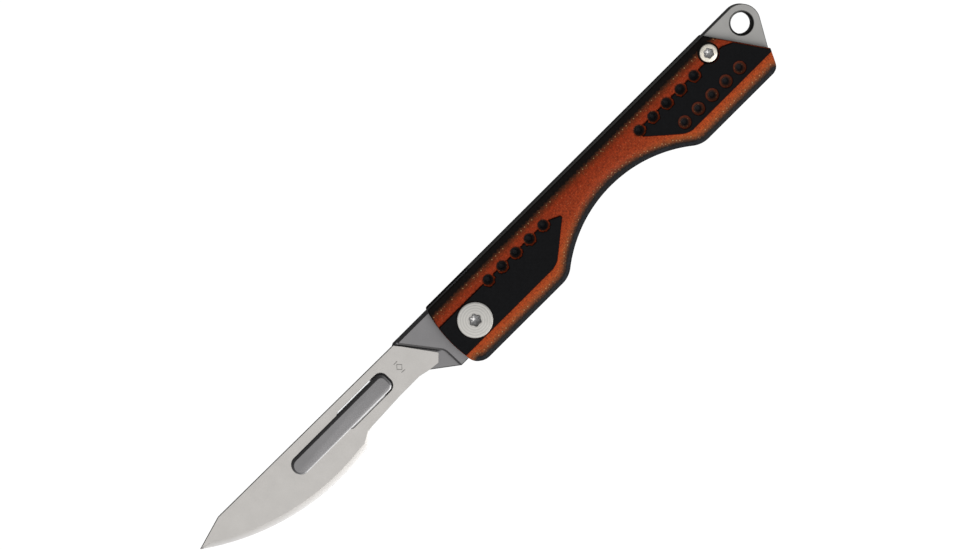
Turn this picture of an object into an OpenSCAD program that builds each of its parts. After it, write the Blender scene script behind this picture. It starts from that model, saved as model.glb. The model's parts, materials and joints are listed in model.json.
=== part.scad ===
// Folding scalpel knife, lying on its back scale with the blade open.
// +X runs towards the tail, +Y towards the spine and +Z up through the pivot.
// The modules are drawn about the pivot axis, with z = 0 at mid-thickness.

/* [Handle] */
// Height of the spine edge above the pivot axis
spine_y = 7.3; // [7.1:0.1:7.4]
// Depth of the belly edge below the pivot axis
belly_y = 7.0; // [6.8:0.1:7.2]
// Distance of the bowed front edge in front of the pivot
front_reach = 6.15; // [6:0.05:6.3]
// Radius of that bow
front_r = 26; // [24:1:30]
// Thickness of one handle scale over its raised pads
scale_t = 2.3; // [2.2:0.1:2.8]
// Height of the raised pads over the scale's base surface
pad_h = 0.3; // [0.2:0.05:0.4]
// Width of the sloping band along the spine
spine_bevel_w = 3.4; // [2.8:0.1:3.4]
// Width of the sloping band along the belly and round the waist
belly_bevel_w = 2.7; // [2.4:0.1:3]
// Drop of that band from the base surface to the edge
bevel_drop = 1.15; // [0.8:0.05:1.15]
// Thickness of each liner
liner_t = 0.5; // [0.5:0.1:0.7]
// Gap between the liners
gap_t = 3.2; // [3.2:0.1:3.6]

/* [Finger waist] */
// Distance of the waist's centre behind the pivot
waist_x = 35.5; // [35:0.5:36]
// Radius of the waist
waist_r = 26; // [25.5:0.5:26]
// Distance of the waist's highest point below the pivot axis
waist_depth = 0.35; // [0.2:0.05:0.5]
// Radius where the waist runs into the belly
waist_fillet_r = 5; // [4:0.5:5]

/* [Tail] */
// Distance of the tab's rounded end behind the pivot
tab_x = 74.25; // [74.2:0.05:74.5]
// Radius of the tab's rounded end
tab_r = 3.5; // [3.4:0.05:3.5]
// Distance of the lanyard hole in front of that end's centre
lanyard_back = 0.15; // [0:0.05:0.5]
// Radius of the lanyard hole
lanyard_r = 2; // [1.8:0.05:2.1]
// Width of the chamfer round both ends of the lanyard hole
lanyard_chamfer = 0.4; // [0.2:0.05:0.4]
// Lean of the tail end from square
tail_lean = 24; // [23:0.5:25]

/* [Pads] */
// Upper edge of both pads
pad_top_y = 3.7; // [3.6:0.05:3.8]
// Lower edge of both pads, below the pivot axis
pad_low_y = 3.55; // [3.4:0.05:3.6]
// Number of dimples in each row
dimple_n = 5; // [1:1:5]
// Distance between dimples
dimple_pitch = 3.59; // [3.4:0.01:3.6]
// Radius of the ball cutter for the deep rows along the pads' upper edges
deep_dimple_r = 1.2; // [1.1:0.05:1.3]
// Height of that cutter's centre over the pad
deep_dimple_lift = 0; // [0:0.05:0.3]
// Radius of the ball cutter for the row near the belly
dimple_r = 1.45; // [1.3:0.05:1.5]
// Height of that cutter's centre over the pad
dimple_lift = 0.55; // [0.5:0.05:0.8]

/* [Pivot] */
// Radius of the pivot barrel
pivot_r = 2.4; // [2.2:0.1:2.5]
// Radius of both pivot heads
pivot_head_r = 3.4; // [3.2:0.1:3.4]
// Height of the front pivot head over the pad
pivot_proud = 0.3; // [0.2:0.05:0.4]
// Radial clearance of every part that turns
turn_clear = 0.04; // [0.02:0.01:0.08]
// Thickness of each washer
washer_t = 0.18; // [0.14:0.02:0.18]
// Radius of each washer
washer_r = 3.7; // [3.5:0.1:3.8]

/* [Body screw] */
// Distance of the body screw behind the pivot
body_x = 65.6; // [65.4:0.1:65.8]
// Height of the body screw above the pivot axis
body_y = 4.5; // [4.4:0.1:4.6]
// Radius of the body screw's heads
body_head_r = 1.75; // [1.65:0.05:1.8]
// Radius of the body barrel
body_r = 1.2; // [1.1:0.05:1.25]

/* [Holder and blade] */
// Distance of the blade's point in front of the pivot
blade_reach = 66.5; // [66.3:0.1:66.7]
// Thickness of the blade
blade_t = 0.45; // [0.4:0.05:0.5]
// Height of the blade's seat over mid-thickness
seat_z = 0.35; // [0.3:0.05:0.4]
// Height of the holder's face over mid-thickness
holder_top = 1.4; // [1.3:0.05:1.4]
// Height of the lug's top over mid-thickness
lug_top = 1.3; // [1.2:0.05:1.3]
// Radius of the cutting edge's curve
edge_r = 48.1; // [47.5:0.1:49]
// Depth of the cutting edge below the pivot axis
edge_low = 3.8; // [3.6:0.05:3.8]
// Radius of the round tang
tang_r = 5.9; // [5.9:0.05:6]
// Distance of the stop pin's centre from the pivot
stop_orbit = 4.8; // [4.75:0.05:4.8]
// Radius of the stop pin
stop_r = 0.75; // [0.7:0.05:0.75]

/* [Hidden] */
$fn = 96;

// Heights over mid-thickness
liner_in = gap_t / 2;
liner_out = liner_in + liner_t;
pad_z = liner_out + scale_t;
base_z = pad_z - pad_h;
rim_z = base_z - bevel_drop;
head_seat = liner_out + 1.1;
lug_gap = 0.02;
rim_low = seat_z + blade_t + lug_gap;
proud_z = pad_z + pivot_proud;

// Places in plan
front_x = -front_reach;
front_centre = front_r - front_reach;
front_corner_r = 3;
tail_corner_r = 1.8;
tail_x = 74.5;
tail_y = -3;
rear_top_x = 67.3;
waist_y = -waist_depth - waist_r;
fillet_y = -belly_y + waist_fillet_r;
fillet_dx = sqrt(pow(waist_r + waist_fillet_r, 2) - pow(fillet_y - waist_y, 2));
tab_y = spine_y - tab_r;
holder_spine = 7.1;
clip_x = -59.8;
clip_y = 7.42;
tip_y = 5.45;
edge_x = -38.15;
heel_x = -30.6;
slot_y = 3.35;
slot_r = [1.7, 2.1];
slot_step_x = -30.5;
slot_rear_x = -21.4;
heel_y = -4.7;
lug_y = 3.3;
lug_neck_r = 1.35;
lug_rim_r = 1.76;
lug_slope = 0.45;
lug_x = [-42.1, -21.3];
pin_spot = [13.5, 5.65];
pin_r = 0.7;
ball_spot = [-3.6, 3.6];
ball_r = 0.34;
far = 100;
eps = 0.02;

// Row frame: the middle of the whole object in plan
x_shift = (blade_reach - tab_x - tab_r) / 2;
y_shift = (belly_y - clip_y) / 2;

module placed() {
    translate([x_shift, y_shift, pad_z]) children();
}

module slab(z0, z1) {
    translate([0, 0, z0]) linear_extrude(z1 - z0) children();
}

// Round post from z0 to z1
module post(r, z0, z1) {
    translate([0, 0, z0]) cylinder(r = r, h = z1 - z0);
}

// A sector of corner material outside a circle, bounded by points round the corner
module corner_waste(centre, r, points) {
    difference() {
        polygon(points);
        translate(centre) circle(r);
    }
}

// x of the leaning tail line at a height y
function tail_line(y) = tail_x + (y - tail_y) * tan(tail_lean);

// Waste where the waist meets the belly; side is -1 in front and 1 behind
module waist_waste(side) {
    centre = [waist_x + side * fillet_dx, fillet_y];
    touch = [waist_x, waist_y] + (centre - [waist_x, waist_y]) * waist_r / (waist_r + waist_fillet_r);
    corner_waste(centre, waist_fillet_r,
        [centre, [centre[0], -belly_y - 1], [touch[0] - side * 3, -belly_y - 1], touch]);
}

// Plan of the handle: bowed front, straight spine, waist, and the leaning tail
module handle_plan(rear_top) {
    corner_x = tail_line(-belly_y);
    tail_c = [tail_line(-belly_y + tail_corner_r) - tail_corner_r / cos(tail_lean),
              -belly_y + tail_corner_r];
    front_in = front_centre - sqrt(pow(front_r, 2) - pow(belly_y - front_corner_r, 2)) + front_corner_r;
    difference() {
        polygon([[front_x, spine_y], [front_x, -belly_y], [corner_x, -belly_y], [tail_x, tail_y], rear_top]);
        // Bowed front edge
        difference() {
            translate([front_x - 1, -10]) square([8, 20]);
            translate([front_centre, 0]) circle(front_r, $fn = 360);
        }
        // Lower front corner
        corner_waste([front_in, -belly_y + front_corner_r], front_corner_r,
            [[front_in, -belly_y + front_corner_r], [front_in, -belly_y - 1],
             [front_x - 1, -belly_y - 1], [front_x - 1, -belly_y + front_corner_r]]);
        // Finger waist
        translate([waist_x, waist_y]) circle(waist_r, $fn = 240);
        waist_waste(-1);
        waist_waste(1);
        // Lower tail corner
        corner_waste(tail_c, tail_corner_r,
            [tail_c, [tail_c[0], -belly_y - 1], [corner_x + 1, -belly_y - 1],
             tail_c + 2 * tail_corner_r * [cos(tail_lean), -sin(tail_lean)]]);
    }
}

module scale_plan() {
    handle_plan([rear_top_x, spine_y]);
}

module front_pad_plan() {
    intersection() {
        scale_plan();
        polygon([[front_x - 1, pad_top_y], [22, pad_top_y], [25.25, pad_top_y - 1.1],
                 [18.3, -2.87], [16.8, -pad_low_y], [front_x - 1, -pad_low_y]]);
    }
}

module rear_pad_plan() {
    intersection() {
        scale_plan();
        polygon([[45.2, 3], [46, pad_top_y], [76, pad_top_y], [76, -pad_low_y],
                 [53.4, -pad_low_y], [52, -2.9]]);
    }
}

// Sloping cut along a long edge; side is 1 at the spine and -1 at the belly
module edge_slope(side, edge, bevel_w) {
    translate([-10, 0, 0])
        rotate([90, 0, 90])
            linear_extrude(far)
                polygon([[side * (edge + 1), rim_z - bevel_drop / bevel_w],
                         [side * (edge - bevel_w), base_z],
                         [side * (edge + 1), base_z + 1]]);
}

// The same slope round the waist, as a cone
module waist_slope(bevel_w) {
    translate([waist_x, waist_y, 0])
        rotate_extrude($fn = 240)
            polygon([[waist_r - 1, rim_z - bevel_drop / bevel_w], [waist_r + bevel_w, base_z],
                     [waist_r - 1, base_z + 1]]);
}

module dimple_row(x0, y, r, lift) {
    for (i = [0:dimple_n - 1])
        translate([x0 + i * dimple_pitch, y, pad_z + lift]) sphere(r, $fn = 48);
}

module handle_scale() {
    difference() {
        union() {
            difference() {
                slab(liner_out, base_z) scale_plan();
                edge_slope(1, spine_y, spine_bevel_w);
                edge_slope(-1, belly_y, belly_bevel_w);
                waist_slope(belly_bevel_w);
            }
            slab(base_z - 0.1, pad_z) front_pad_plan();
            slab(base_z - 0.1, pad_z) rear_pad_plan();
        }
        dimple_row(7, 3.56, deep_dimple_r, deep_dimple_lift);
        dimple_row(46.4, 3.43, deep_dimple_r, deep_dimple_lift);
        dimple_row(53.5, -1.5, dimple_r, dimple_lift);
        post(pivot_r + turn_clear, 0, far);
        post(pivot_head_r + 0.12, head_seat, far);
        translate([body_x, body_y, 0]) post(body_r + turn_clear, 0, far);
        translate([body_x, body_y, 0]) post(body_head_r + 0.3, head_seat, far);
    }
}

// Curved slot for the stop pin, from the open stop round the tail side to the closed stop
module stop_slot_plan() {
    half = stop_r + 0.1;
    difference() {
        circle(stop_orbit + half);
        circle(stop_orbit - half);
        translate([-20, -20]) square([20, 40]);
    }
    for (side = [-1, 1])
        translate([0, side * stop_orbit]) circle(half);
}

module liner_plan() {
    inset = 0.25;
    difference() {
        intersection() {
            translate([inset, -inset]) scale_plan();
            translate([-inset, inset]) scale_plan();
            translate([0, inset]) scale_plan();
        }
        circle(pivot_r + turn_clear);
        stop_slot_plan();
        translate([body_x, body_y]) circle(body_r + turn_clear);
        translate(pin_spot) circle(pin_r + eps);
    }
}

module front_scale() {
    color([0.72, 0.32, 0.16]) placed() handle_scale();
}

module back_scale() {
    color([0.72, 0.32, 0.16]) placed() mirror([0, 0, 1]) handle_scale();
}

module front_liner() {
    color([0.55, 0.55, 0.56]) placed()
        difference() {
            slab(liner_in, liner_out) liner_plan();
            translate(ball_spot) post(ball_r + eps, 0, far);
        }
}

module back_liner() {
    color([0.55, 0.55, 0.56]) placed() mirror([0, 0, 1]) slab(liner_in, liner_out) liner_plan();
}

// Spine bar, tail block and rounded tab, cut clear of the swinging holder and the closed blade
module spacer_plan() {
    bar_y = 4.1;
    block_x = 69;
    swing_r = 9.3;
    // Tab's leaning edge: from the tail corner to where it touches the rounded end
    touch_angle = acos(tab_r / (tab_y - tail_y)) - 90;
    difference() {
        union() {
            polygon([[4, spine_y], [8.2, 5], [9.6, bar_y], [64, bar_y], [68, 1], [block_x, -0.5],
                     [block_x, -5.6], [tail_line(-5.6) - 0.3, -5.6], [tail_line(-5), -5], [tail_x, tail_y],
                     [tab_x + tab_r * cos(touch_angle), tab_y + tab_r * sin(touch_angle)],
                     [tab_x, tab_y], [tab_x, spine_y]]);
            translate([tab_x, tab_y]) circle(tab_r);
            translate([body_x, body_y]) circle(2.3);
        }
        circle(swing_r);
        translate([tab_x - lanyard_back, tab_y]) circle(lanyard_r);
        translate([body_x, body_y]) circle(body_r + turn_clear);
        translate(pin_spot) circle(pin_r + eps);
    }
}

module backspacer() {
    color([0.6, 0.59, 0.58]) placed()
        difference() {
            slab(-liner_in, liner_in) spacer_plan();
            for (side = [0, 1])
                mirror([0, 0, side])
                    translate([tab_x - lanyard_back, tab_y, liner_in - lanyard_chamfer])
                        cylinder(r1 = lanyard_r, r2 = lanyard_r + 2 * lanyard_chamfer, h = 2 * lanyard_chamfer);
        }
}

module backspacer_pin() {
    color([0.7, 0.7, 0.7]) placed() translate(pin_spot) post(pin_r, -liner_out + 0.05, liner_out - 0.05);
}

// Ball lifted clear of the tang by the liner's spring
module detent_ball() {
    color([0.8, 0.8, 0.82]) placed()
        translate([ball_spot[0], ball_spot[1], liner_out - ball_r]) sphere(ball_r, $fn = 48);
}

// Six-lobed socket
module socket_plan(r) {
    circle(r * 0.76);
    for (i = [0:5])
        rotate(60 * i) translate([r * 0.72, 0]) circle(r * 0.28);
}

// Screw head with a turned chamfer and a six-lobed socket
module screw_head(r, z0, z1, chamfer, socket_r, socket_depth) {
    difference() {
        rotate_extrude()
            polygon([[0, z0], [r, z0], [r, z1 - chamfer], [r - chamfer, z1], [0, z1]]);
        slab(z1 - socket_depth, z1 + 1) socket_plan(socket_r);
    }
}

module barrel(r, head_r, bore_r, chamfer, socket_r) {
    difference() {
        union() {
            post(r, -head_seat - 0.1, head_seat - 0.05);
            mirror([0, 0, 1]) screw_head(head_r, head_seat, pad_z, chamfer, socket_r, 0.8);
        }
        post(bore_r, -head_seat + 0.6, far);
    }
}

module pivot_barrel() {
    color([0.78, 0.78, 0.77]) placed() barrel(pivot_r, pivot_head_r, 1.3, 0.2, 1.15);
}

module pivot_screw() {
    color([0.8, 0.79, 0.77]) placed() {
        screw_head(pivot_head_r, head_seat, proud_z, 0.25, 1.15, 1);
        post(1.28, -2, head_seat + 0.1);
    }
}

module body_barrel() {
    color([0.85, 0.84, 0.8]) placed() translate([body_x, body_y, 0])
        barrel(body_r, body_head_r, 0.75, 0.25, 0.85);
}

module body_screw() {
    color([0.92, 0.9, 0.84]) placed() translate([body_x, body_y, 0]) {
        screw_head(body_head_r, head_seat, pad_z - 0.1, 0.3, 0.85, 0.8);
        post(0.73, -2, head_seat + 0.1);
    }
}

module washer() {
    difference() {
        post(washer_r, liner_in - washer_t, liner_in);
        post(pivot_r + turn_clear, 0, far);
    }
}

module front_washer() {
    color([0.75, 0.62, 0.35]) placed() washer();
}

module back_washer() {
    color([0.75, 0.62, 0.35]) placed() mirror([0, 0, 1]) washer();
}

// Upright neck of the lug, between its two end centres
module lug_neck() {
    for (x = lug_x)
        translate([x, lug_y, 0]) post(lug_neck_r, seat_z - 0.1, rim_low + 0.1);
    slab(seat_z - 0.1, rim_low + 0.1)
        translate([lug_x[0], lug_y - lug_neck_r]) square([lug_x[1] - lug_x[0], 2 * lug_neck_r]);
}

// Sloping rim of the lug, which holds the blade down
module lug_rim() {
    for (x = lug_x)
        translate([x, lug_y, 0])
            rotate_extrude()
                polygon([[0, rim_low], [lug_rim_r, rim_low], [lug_rim_r - lug_slope, lug_top], [0, lug_top]]);
    translate([lug_x[0], lug_y, 0])
        rotate([90, 0, 90])
            linear_extrude(lug_x[1] - lug_x[0])
                polygon([[-lug_rim_r, rim_low], [lug_rim_r, rim_low],
                         [lug_rim_r - lug_slope, lug_top], [lug_slope - lug_rim_r, lug_top]]);
}

// The part of the holder that stands at full height behind the shoulder
module shoulder_plan() {
    polygon([[-13.9, holder_spine], [-8.5, 0.1], [-7.9, -0.9], [-7.9, heel_y], [0, heel_y], [3, 0],
             [0, holder_spine]]);
    circle(tang_r);
}

// The whole holder at the level under the blade
module tongue_plan() {
    shoulder_plan();
    polygon([[-13.9, holder_spine], [-15.6, 6.2], [-43.2, 5.9], [-44.9, 4.6], [-44.9, 2.2], [-43.2, 0.9],
             [-16, 0.1], [-12.9, -0.95], [-7.9, heel_y], [0, heel_y], [0, holder_spine]]);
}

module blade_holder() {
    spine_cut = 0.32;
    color([0.53, 0.52, 0.52]) placed()
        difference() {
            union() {
                slab(-holder_top, seat_z) tongue_plan();
                slab(seat_z - 0.1, holder_top) shoulder_plan();
                lug_neck();
                lug_rim();
            }
            post(pivot_r + turn_clear, -far, far);
            translate([0, -stop_orbit, -far]) cylinder(r = stop_r + 0.01, h = 2 * far);
            // Detent dimples for the open and the closed place
            for (side = [-1, 1])
                translate([-side * ball_spot[0], -side * ball_spot[1], holder_top + 0.2])
                    sphere(ball_r, $fn = 48);
            // Chamfer along the holder's spine
            translate([-15, holder_spine, holder_top])
                rotate([45, 0, 0])
                    translate([0, -spine_cut, -spine_cut]) cube([12, 2 * spine_cut, 2 * spine_cut]);
        }
}

// Key slot: wide at the rear, narrower in front where it clips under the lug's rim
module slot_plan() {
    translate([lug_x[0], slot_y]) circle(slot_r[0]);
    translate([lug_x[0], slot_y - slot_r[0]]) square([slot_step_x - lug_x[0] + 1, 2 * slot_r[0]]);
    translate([slot_step_x, slot_y - slot_r[1]]) square([slot_rear_x - slot_step_x, 2 * slot_r[1]]);
    translate([slot_rear_x, slot_y]) circle(slot_r[1]);
}

module blade_plan() {
    difference() {
        intersection() {
            polygon([[clip_x, clip_y], [-blade_reach, tip_y], [-blade_reach, -5], [heel_x, -5],
                     [heel_x, -3.1], [-28.7, -1.25], [-27.5, -1], [-20, -0.65], [-14.8, -0.62],
                     [-12.4, -1.15], [-10.5, -1.35], [-9.1, 0], [-14.1, holder_spine]]);
            union() {
                translate([edge_x, edge_r - edge_low]) circle(edge_r, $fn = 720);
                translate([heel_x, -5]) square([25, 14]);
            }
        }
        slot_plan();
    }
}

module scalpel_blade() {
    color([0.77, 0.76, 0.74]) placed() slab(seat_z, seat_z + blade_t) blade_plan();
}

module stop_pin() {
    reach = liner_out - 0.1;
    color([0.7, 0.7, 0.7]) placed() translate([0, -stop_orbit, 0]) post(stop_r, -reach, reach);
}

front_scale();
back_scale();
front_liner();
back_liner();
backspacer();
backspacer_pin();
detent_ball();
pivot_barrel();
pivot_screw();
front_washer();
back_washer();
body_barrel();
body_screw();
blade_holder();
scalpel_blade();
stop_pin();
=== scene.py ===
import json
import math

import bmesh
import bpy
import numpy as np
from mathutils import Matrix, Vector
from mathutils.geometry import delaunay_2d_cdt


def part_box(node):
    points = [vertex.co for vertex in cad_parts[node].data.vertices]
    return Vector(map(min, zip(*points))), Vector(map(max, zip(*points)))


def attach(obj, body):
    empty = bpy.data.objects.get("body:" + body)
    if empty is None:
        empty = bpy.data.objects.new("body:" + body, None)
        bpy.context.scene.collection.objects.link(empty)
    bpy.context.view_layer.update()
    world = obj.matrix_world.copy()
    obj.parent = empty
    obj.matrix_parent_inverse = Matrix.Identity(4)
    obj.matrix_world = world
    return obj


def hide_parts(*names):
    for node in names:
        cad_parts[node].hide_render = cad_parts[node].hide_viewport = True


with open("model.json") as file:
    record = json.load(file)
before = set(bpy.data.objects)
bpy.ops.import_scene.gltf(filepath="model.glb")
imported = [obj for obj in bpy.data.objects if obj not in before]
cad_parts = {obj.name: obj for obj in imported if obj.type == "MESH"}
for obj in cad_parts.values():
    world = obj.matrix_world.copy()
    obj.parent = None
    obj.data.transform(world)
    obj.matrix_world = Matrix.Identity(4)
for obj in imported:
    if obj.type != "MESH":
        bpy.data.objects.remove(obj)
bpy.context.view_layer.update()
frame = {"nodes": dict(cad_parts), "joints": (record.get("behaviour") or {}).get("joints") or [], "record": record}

# Shapes are drawn in millimetres about the pivot axis, with z = 0 at mid-thickness
MM = 0.001
PIVOT = Vector(frame["joints"][0]["pos_m"])


def local_box(node):
    """Lowest and highest corner of a CAD node, in millimetres about the pivot."""
    low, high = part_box(node)
    return (low - PIVOT) / MM, (high - PIVOT) / MM


SCALE_LOW, SCALE_HIGH = local_box("front_scale")
SPACER_LOW, SPACER_HIGH = local_box("backspacer")
BLADE_LOW, BLADE_HIGH = local_box("scalpel_blade")
HOLDER_LOW, HOLDER_HIGH = local_box("blade_holder")
PIVOT_SCREW_HIGH = local_box("pivot_screw")[1]
BODY_SCREW_LOW, BODY_SCREW_HIGH = local_box("body_screw")

SPINE_Y = SCALE_HIGH.y
BELLY_Y = SCALE_LOW.y
PAD_Z = SCALE_HIGH.z
SCALE_IN_Z = SCALE_LOW.z
PAD_H = 0.3
BASE_Z = PAD_Z - PAD_H
EDGE_DROP = 1.15
SPINE_EDGE_W = 3.45
BELLY_EDGE_W = 2.7
WAIST_EXTRA_W = 0.35
EDGE_POWER = 1.5
HEAD_SEAT = SCALE_IN_Z + 1.1

FRONT_R = 26.0
FRONT_CENTRE = SCALE_LOW.x + FRONT_R
WAIST = (35.5, -26.35)
WAIST_R = 26.0
WAIST_FILLET_R = 5.0
TAIL = (74.5, -3.0)
TAIL_LEAN = math.radians(24)
TAIL_CORNER_R = 1.8
REAR_TOP_X = 67.3
TAB_R = 3.5
TAB = (SPACER_HIGH.x - TAB_R, SPINE_Y - TAB_R)
BODY = tuple(((BODY_SCREW_LOW + BODY_SCREW_HIGH) / 2).to_2d())
PIVOT_HEAD_R = PIVOT_SCREW_HIGH.x
BODY_HEAD_R = (BODY_SCREW_HIGH.x - BODY_SCREW_LOW.x) / 2
PIVOT_SEAT_R = PIVOT_HEAD_R + 0.12
BODY_SEAT_R = BODY_HEAD_R + 0.3
PIVOT_BORE_R = 2.44
BODY_BORE_R = 1.24


# ---------------- plan curves

def arc(centre, r, start, end, steps):
    """Points on an arc, angles in degrees."""
    return [(centre[0] + r * math.cos(math.radians(start + (end - start) * i / steps)),
             centre[1] + r * math.sin(math.radians(start + (end - start) * i / steps)))
            for i in range(steps + 1)]


def rounded(corners, steps=8):
    """Closed loop from (x, y, radius) corners, each one rounded by an arc."""
    loop = []
    for i, (x, y, r) in enumerate(corners):
        here = np.array([x, y])
        if r == 0:
            loop.append((x, y))
            continue
        before = np.array(corners[i - 1][:2]) - here
        after = np.array(corners[(i + 1) % len(corners)][:2]) - here
        before /= np.linalg.norm(before)
        after /= np.linalg.norm(after)
        half = math.acos(np.clip(before @ after, -1, 1)) / 2
        middle = before + after
        centre = here + middle / np.linalg.norm(middle) * r / math.sin(half)
        touch_a = here + before * r / math.tan(half) - centre
        touch_b = here + after * r / math.tan(half) - centre
        a = math.atan2(touch_a[1], touch_a[0])
        turn = (math.atan2(touch_b[1], touch_b[0]) - a + math.pi) % (2 * math.pi) - math.pi
        for k in range(steps + 1):
            angle = a + turn * k / steps
            loop.append((centre[0] + r * math.cos(angle), centre[1] + r * math.sin(angle)))
    return loop


def resample(loop, step, closed=True):
    """The same polyline with no segment longer than step."""
    out = []
    pairs = list(zip(loop, loop[1:] + loop[:1])) if closed else list(zip(loop, loop[1:]))
    for a, b in pairs:
        n = max(1, math.ceil(math.dist(a, b) / step))
        out += [(a[0] + (b[0] - a[0]) * i / n, a[1] + (b[1] - a[1]) * i / n) for i in range(n)]
    if not closed:
        out.append(loop[-1])
    return out


def circle(centre, r, steps):
    """Closed loop of points round a circle."""
    return arc(centre, r, 0, 360, steps)[:-1]


def tail_line(y):
    """x of the slanting tail edge at a height y."""
    return TAIL[0] + (y - TAIL[1]) * math.tan(TAIL_LEAN)


def belly_edge():
    """Lower edge from the front corner round the waist to the tail corner."""
    fillet_y = BELLY_Y + WAIST_FILLET_R
    rise = fillet_y - WAIST[1]
    reach = math.sqrt((WAIST_R + WAIST_FILLET_R) ** 2 - rise ** 2)
    lean = math.degrees(math.atan2(rise, reach))
    front_corner_r = 3.0
    front_in = FRONT_CENTRE - math.sqrt(FRONT_R ** 2 - (BELLY_Y + front_corner_r) ** 2)
    tail_y = BELLY_Y + TAIL_CORNER_R
    tail_c = (tail_line(tail_y) - TAIL_CORNER_R / math.cos(TAIL_LEAN), tail_y)
    points = arc((front_in + front_corner_r, BELLY_Y + front_corner_r), front_corner_r, 180, 270, 12)
    points += arc((WAIST[0] - reach, fillet_y), WAIST_FILLET_R, 270, 360 - lean, 12)
    points += arc(WAIST, WAIST_R, 180 - lean, lean, 60)
    points += arc((WAIST[0] + reach, fillet_y), WAIST_FILLET_R, 180 + lean, 270, 12)
    points += arc(tail_c, TAIL_CORNER_R, 270, 360 - math.degrees(TAIL_LEAN), 10)
    return points


def front_edge():
    """Bowed front edge, from the spine down to the front corner."""
    ys = np.linspace(SPINE_Y - 0.7, BELLY_Y + 3.4, 14)
    return [(FRONT_CENTRE - math.sqrt(FRONT_R ** 2 - y * y), float(y)) for y in ys]


def scale_outline():
    """Whole plan outline of a scale, from the front end of the spine round the belly to the tail."""
    top_front = FRONT_CENTRE - math.sqrt(FRONT_R ** 2 - SPINE_Y ** 2)
    corner = arc((top_front + 0.45, SPINE_Y - 0.5), 0.5, 90, 160, 5)
    return corner + front_edge() + belly_edge() + [TAIL, (REAR_TOP_X, SPINE_Y)]


# Foot of each pad's sloping wall
PAD_WALL = 0.28
PAD_TOP_Y = 3.8
PAD_LOW_Y = -3.72
FRONT_PAD = [(-8, PAD_TOP_Y, 0), (-8, PAD_LOW_Y, 0), (17.1, PAD_LOW_Y, 1.5), (18.6, -3.2, 1.5),
             (25.5, 2.4, 0.5), (22.4, PAD_TOP_Y, 1.0)]
REAR_PAD = [(68.2, PAD_TOP_Y, 0.8), (45.9, PAD_TOP_Y, 0.5), (44.95, 2.9, 0.5), (51.85, -3.1, 1.5),
            (53.3, PAD_LOW_Y, 1.5), (78, PAD_LOW_Y, 0), (78, -3.2, 0), (74.27, -2.75, 0), (70.38, 2.8, 0.8)]
DIMPLE_PITCH = 3.59
# First dimple of each row (x, y), with the ball's radius and its centre's height over the pad
DIMPLE_ROWS = [(7, 3.56, 1.2, 0.0), (46.4, 3.43, 1.2, 0.0), (53.5, -1.5, 1.45, 0.55)]
DIMPLES = [(x + i * DIMPLE_PITCH, y, r, lift) for x, y, r, lift in DIMPLE_ROWS for i in range(5)]
PILOT_R = 0.62
PILOT_DROP = 0.3
LANYARD_MOUNT = next(m for m in frame["record"]["mounts"] if m["name"] == "lanyard_hole")
LANYARD = tuple(((Vector(LANYARD_MOUNT["pos_m"]) - PIVOT) / MM).to_2d())
LANYARD_R = LANYARD_MOUNT["dims"]["r_mm"]


# ---------------- mesh helpers

def distance_to(points, line, closed=False):
    """Distance of each point to a polyline."""
    line = np.array(line, float)
    starts = line if closed else line[:-1]
    ends = np.roll(line, -1, 0) if closed else line[1:]
    best = np.full(len(points), 1e9)
    for a, b in zip(starts, ends):
        d = b - a
        t = np.clip(((points - a) @ d) / max(d @ d, 1e-12), 0, 1)
        best = np.minimum(best, np.linalg.norm(points - a - t[:, None] * d, axis=1))
    return best


def inside(points, loop):
    """Which points lie inside a closed loop."""
    loop = np.array(loop, float)
    x, y = points[:, 0], points[:, 1]
    result = np.zeros(len(points), bool)
    for (ax, ay), (bx, by) in zip(loop, np.roll(loop, -1, 0)):
        if ay == by:
            continue
        crosses = (ay > y) != (by > y)
        result ^= crosses & (x < (bx - ax) * (y - ay) / (by - ay) + ax)
    return result


def triangulate(loops, lines=(), extra=()):
    """Constrained triangles inside loops[0] and outside the other loops.
    Returns points, triangles and, for each point, which of the given points it was."""
    points, edges = [], []
    for loop in loops:
        first = len(points)
        points += [tuple(p) for p in loop]
        edges += [(first + i, first + (i + 1) % len(loop)) for i in range(len(loop))]
    for line in lines:
        first = len(points)
        points += [tuple(p) for p in line]
        edges += [(first + i, first + i + 1) for i in range(len(line) - 1)]
    points += [tuple(p) for p in extra]
    out = delaunay_2d_cdt([Vector(p) for p in points], edges, [], 0, 1e-7)
    xy = np.array([v[:] for v in out[0]], float)
    triangles = np.array([f for f in out[2] if len(f) == 3], int)
    middle = xy[triangles].mean(1)
    keep = inside(middle, loops[0])
    for hole in loops[1:]:
        keep &= ~inside(middle, hole)
    triangles = triangles[keep]
    a, b, c = (xy[triangles[:, k]] for k in range(3))
    area = (b[:, 0] - a[:, 0]) * (c[:, 1] - a[:, 1]) - (b[:, 1] - a[:, 1]) * (c[:, 0] - a[:, 0])
    flip = area < 0
    triangles[flip] = triangles[flip][:, ::-1]
    return xy, triangles, [o[0] if o else -1 for o in out[3]]


def boundary_loops(triangles):
    """Directed boundary edges, chained into closed loops of indices."""
    edges = {(int(t[k]), int(t[(k + 1) % 3])) for t in triangles for k in range(3)}
    follow = {a: b for a, b in edges if (b, a) not in edges}
    loops = []
    while follow:
        start, here = next(iter(follow.items()))
        loop = [start]
        del follow[start]
        while here != start:
            loop.append(here)
            here = follow.pop(here)
        loops.append(loop)
    return loops


def padded(marks, count):
    """The numbers of the first points, and 0 for the rest up to count."""
    return list(marks) + [0.0] * (count - len(marks))


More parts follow.
